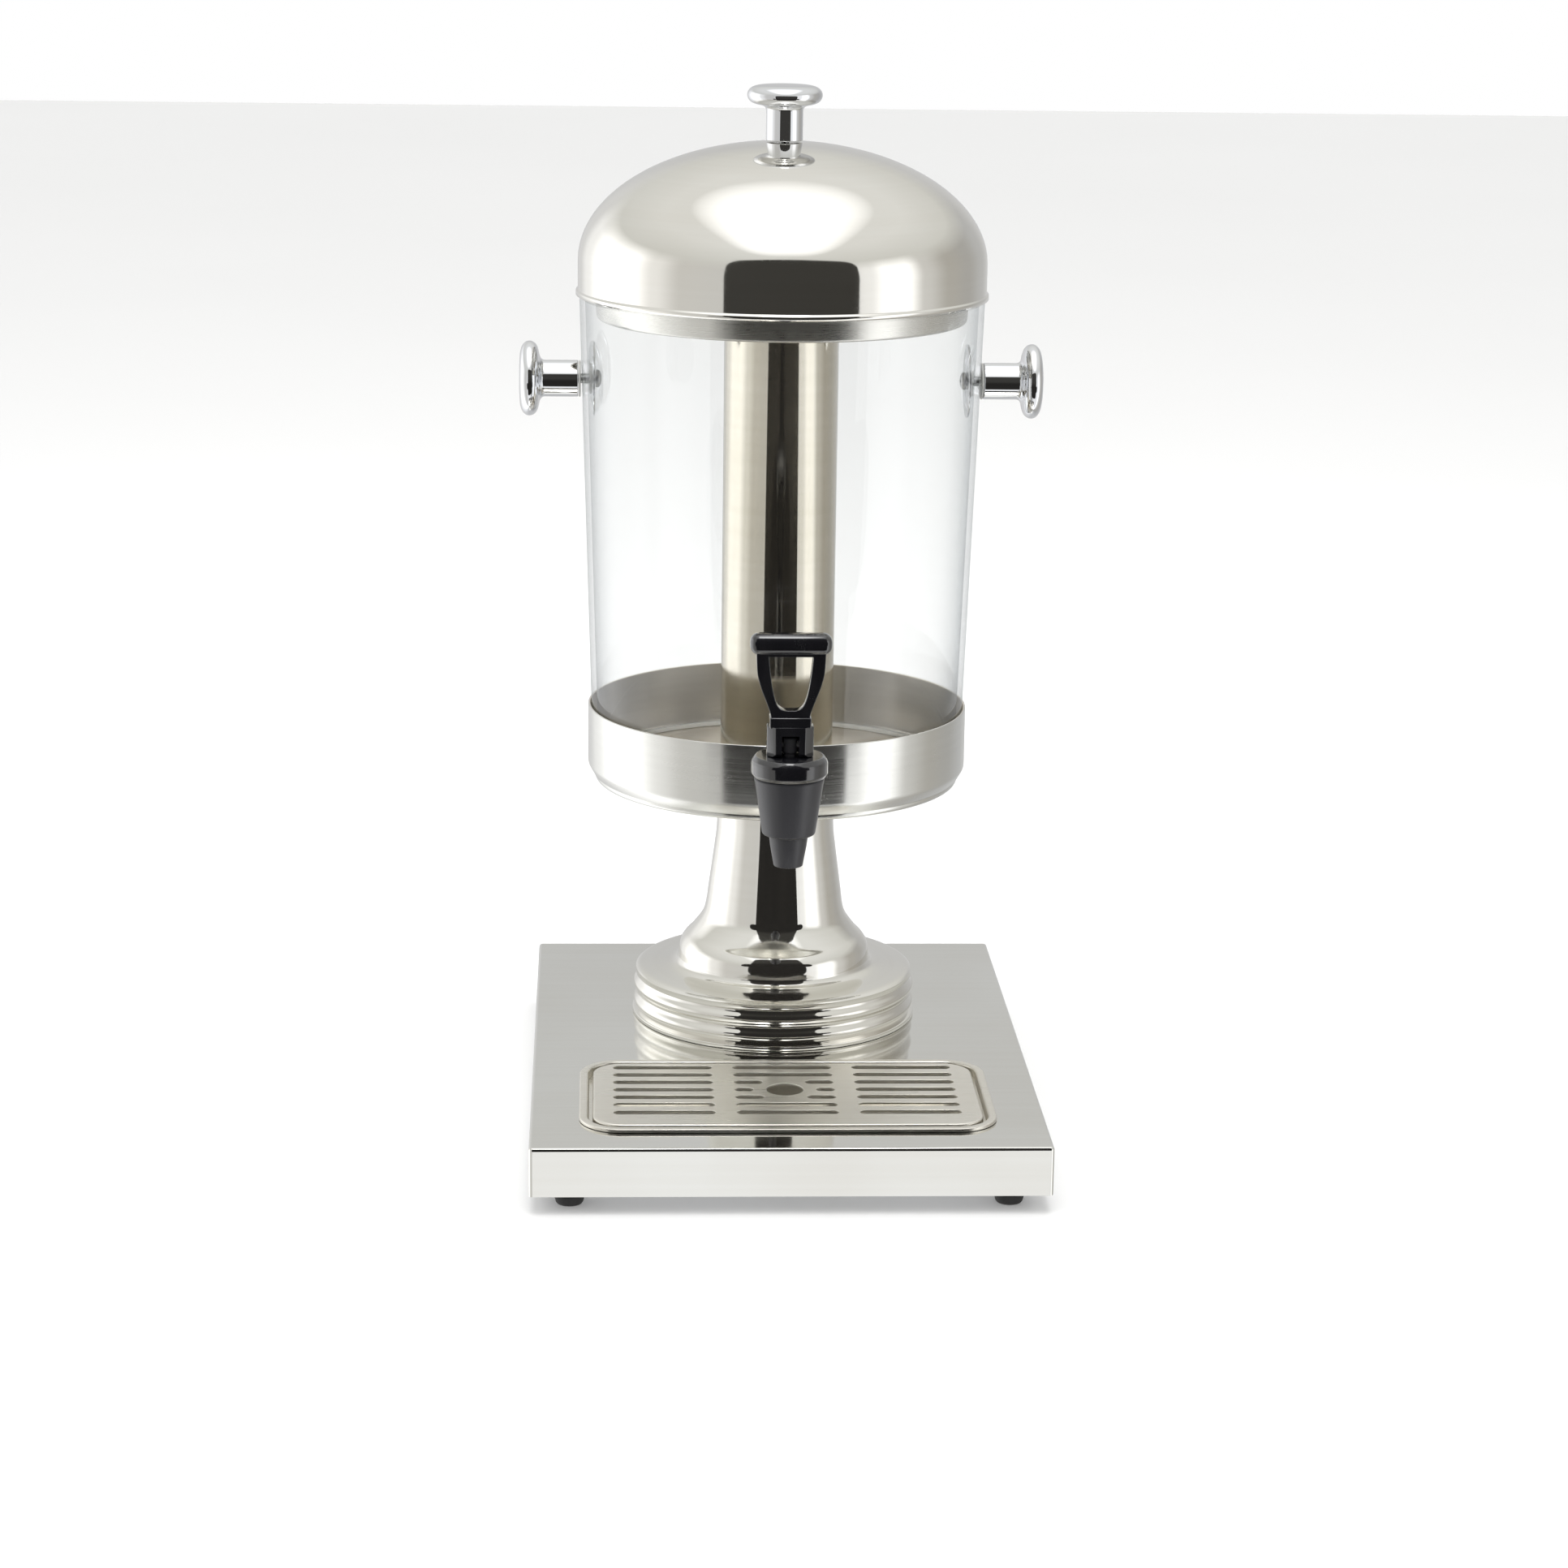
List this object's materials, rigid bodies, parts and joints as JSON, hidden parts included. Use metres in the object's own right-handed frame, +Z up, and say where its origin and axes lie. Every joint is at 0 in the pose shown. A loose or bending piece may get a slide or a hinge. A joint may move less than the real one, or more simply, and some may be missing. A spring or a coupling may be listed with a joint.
{
  "type": "cold beverage dispenser",
  "caption": "Countertop cold drink dispenser: clear tank with ice tube on a pedestal, domed lift-off lid, side knobs, lever tap and drip tray on a steel base.",
  "frame": {"origin": "on the plane of the feet's undersides, under the centre of the base", "axes": "+Z up; the tap faces the user towards -Y; +X to the user's right"},
  "size_m": [0.276, 0.355, 0.5366],
  "materials": {
    "polished_steel": "mirror-polished stainless sheet",
    "satin_steel": "brushed stainless sheet",
    "chrome": "bright chrome plate",
    "zinc_steel": "zinc-plated hardware",
    "clear_polycarbonate": "clear moulded polycarbonate",
    "clear_silicone": "translucent food-grade silicone",
    "black_rubber": "matte moulded rubber",
    "satin_black_plastic": "satin moulded plastic",
    "gloss_black_plastic": "gloss moulded plastic"
  },
  "bodies": {
    "stand": {"base_shell": "polished_steel", "base_bottom_plate": "zinc_steel", "rubber_foot_front_left": "black_rubber", "rubber_foot_front_right": "black_rubber", "rubber_foot_back_left": "black_rubber", "rubber_foot_back_right": "black_rubber", "foot_screw_front_left": "zinc_steel", "foot_screw_front_right": "zinc_steel", "foot_screw_back_left": "zinc_steel", "foot_screw_back_right": "zinc_steel", "foot_nut_front_left": "zinc_steel", "foot_nut_front_right": "zinc_steel", "foot_nut_back_left": "zinc_steel", "foot_nut_back_right": "zinc_steel", "pedestal": "polished_steel", "centre_bolt": "zinc_steel", "bolt_seal_washer": "clear_silicone", "base_washer": "zinc_steel", "base_nut": "zinc_steel", "bottom_pan": "satin_steel", "tank_seal_ring": "clear_silicone", "tank": "clear_polycarbonate", "ice_tube": "satin_steel", "tube_gasket": "clear_silicone", "handle_knob_left": "chrome", "handle_knob_right": "chrome", "handle_gasket_left": "clear_silicone", "handle_gasket_right": "clear_silicone", "handle_pad_left": "clear_silicone", "handle_pad_right": "clear_silicone", "handle_disc_left": "polished_steel", "handle_disc_right": "polished_steel", "handle_screw_left": "zinc_steel", "handle_screw_right": "zinc_steel", "tap_body": "satin_black_plastic", "tap_washer_outer": "clear_silicone", "tap_washer_inner": "clear_silicone", "tap_nut": "satin_black_plastic", "tap_bonnet": "gloss_black_plastic"},
    "tray": {"drip_tray": "satin_steel"},
    "grille": {"drip_grille": "satin_steel"},
    "lid": {"lid_dome": "polished_steel", "lid_inner_ring": "polished_steel", "lid_knob": "chrome", "lid_knob_screw": "zinc_steel", "lid_knob_washer": "zinc_steel"},
    "valve_stem": {"tap_stem": "satin_black_plastic", "tap_seat_cup": "clear_silicone"},
    "lever": {"tap_lever": "gloss_black_plastic", "tap_pivot_pin": "zinc_steel"}
  },
  "joints": [
    {"name": "tray_lift", "type": "slide", "parent": "stand", "child": "tray", "axis": [0, 0, 1], "range_m": [0, 0.06]},
    {"name": "grille_lift", "type": "slide", "parent": "tray", "child": "grille", "axis": [0, 0, 1], "range_m": [0, 0.03]},
    {"name": "lid_lift", "type": "slide", "parent": "stand", "child": "lid", "axis": [0, 0, 1], "range_m": [0, 0.2]},
    {"name": "stem_lift", "type": "slide", "parent": "stand", "child": "valve_stem", "axis": [0, 0, 1], "range_m": [0, 0.0046]},
    {"name": "lever_tilt", "type": "hinge", "parent": "valve_stem", "child": "lever", "pos_m": [0, -0.0935, 0.2202], "axis": [1, 0, 0], "range_deg": [0, 40], "stiffness_Nm_per_rad": 0.3, "springref_deg": -5.73}
  ],
  "couplings": [
    {"joint": "stem_lift", "follows": "lever_tilt", "m_per_rad": 0.0065}
  ]
}
